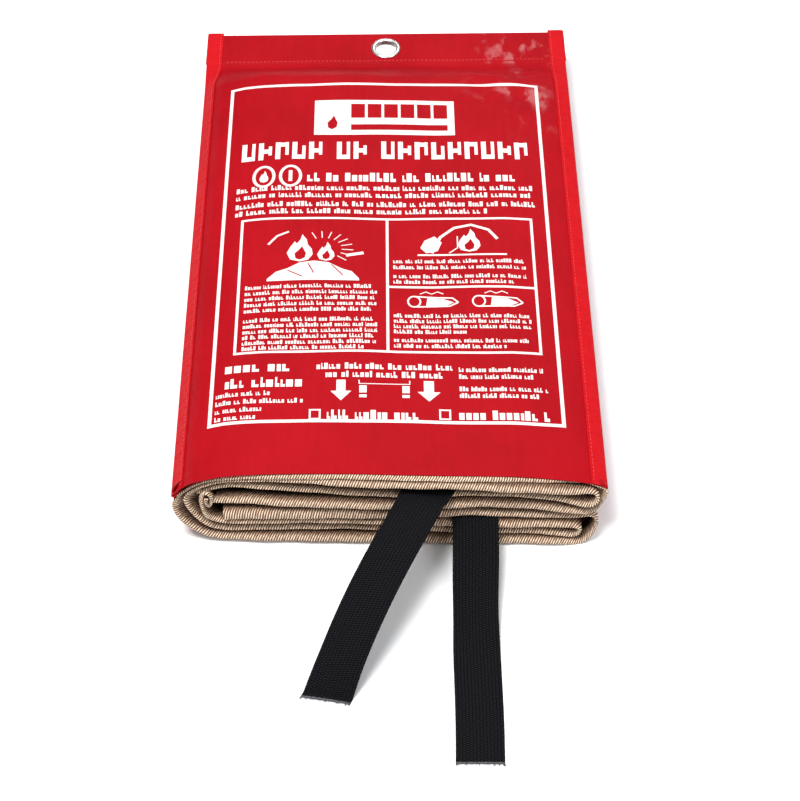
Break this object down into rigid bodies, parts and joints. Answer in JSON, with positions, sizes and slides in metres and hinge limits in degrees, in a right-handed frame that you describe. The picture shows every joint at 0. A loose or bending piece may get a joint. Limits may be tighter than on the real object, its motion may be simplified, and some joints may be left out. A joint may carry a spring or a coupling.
{
  "type": "fire blanket",
  "caption": "Glass-fibre fire blanket folded into a flat red hanging pouch, with an eyelet at the top and two black webbing pull tapes hanging from its open mouth.",
  "frame": {"origin": "middle of the pouch's back, on the surface that it lies on", "axes": "+X to the right of the front print, +Y from the mouth towards the eyelet, +Z out of the front panel"},
  "size_m": [0.2794, 0.614, 0.0598],
  "materials": {
    "pouch_fabric": "coated plain-weave nylon, satin",
    "binding_tape": "ribbed woven edge tape",
    "thread": "polyester sewing thread",
    "eyelet_metal": "nickel-plated, bright",
    "print_ink": "warm white screen print",
    "glass_cloth": "coarse glass-fibre twill, beige",
    "webbing": "woven black webbing, matt"
  },
  "bodies": {
    "pouch": {"pouch_front_panel": "pouch_fabric", "pouch_back_panel": "pouch_fabric", "left_edge_binding": "binding_tape", "right_edge_binding": "binding_tape", "left_binding_stitching": "thread", "right_binding_stitching": "thread", "top_hem_stitching": "thread", "eyelet_barrel": "eyelet_metal", "eyelet_washer": "eyelet_metal", "front_print": "print_ink"},
    "blanket": {"glass_fibre_blanket": "glass_cloth", "left_tape_sewn_end": "webbing", "right_tape_sewn_end": "webbing", "left_tape_box_stitch": "thread", "right_tape_box_stitch": "thread"},
    "left_tape": {"left_pull_tape": "webbing"},
    "right_tape": {"right_pull_tape": "webbing"}
  },
  "joints": [
    {"name": "blanket_pull_out", "type": "slide", "parent": "pouch", "child": "blanket", "axis": [0, -1, 0], "range_m": [0, 0.4]},
    {"name": "left_tape_lift", "type": "hinge", "parent": "blanket", "child": "left_tape", "pos_m": [0.01725, -0.2371, 0.0451], "axis": [-0.8878, 0.4602, 0], "range_deg": [0, 80]},
    {"name": "right_tape_lift", "type": "hinge", "parent": "blanket", "child": "right_tape", "pos_m": [0.05493, -0.2308, 0.02184], "axis": [-0.9999, 0.014, 0], "range_deg": [0, 80]}
  ]
}
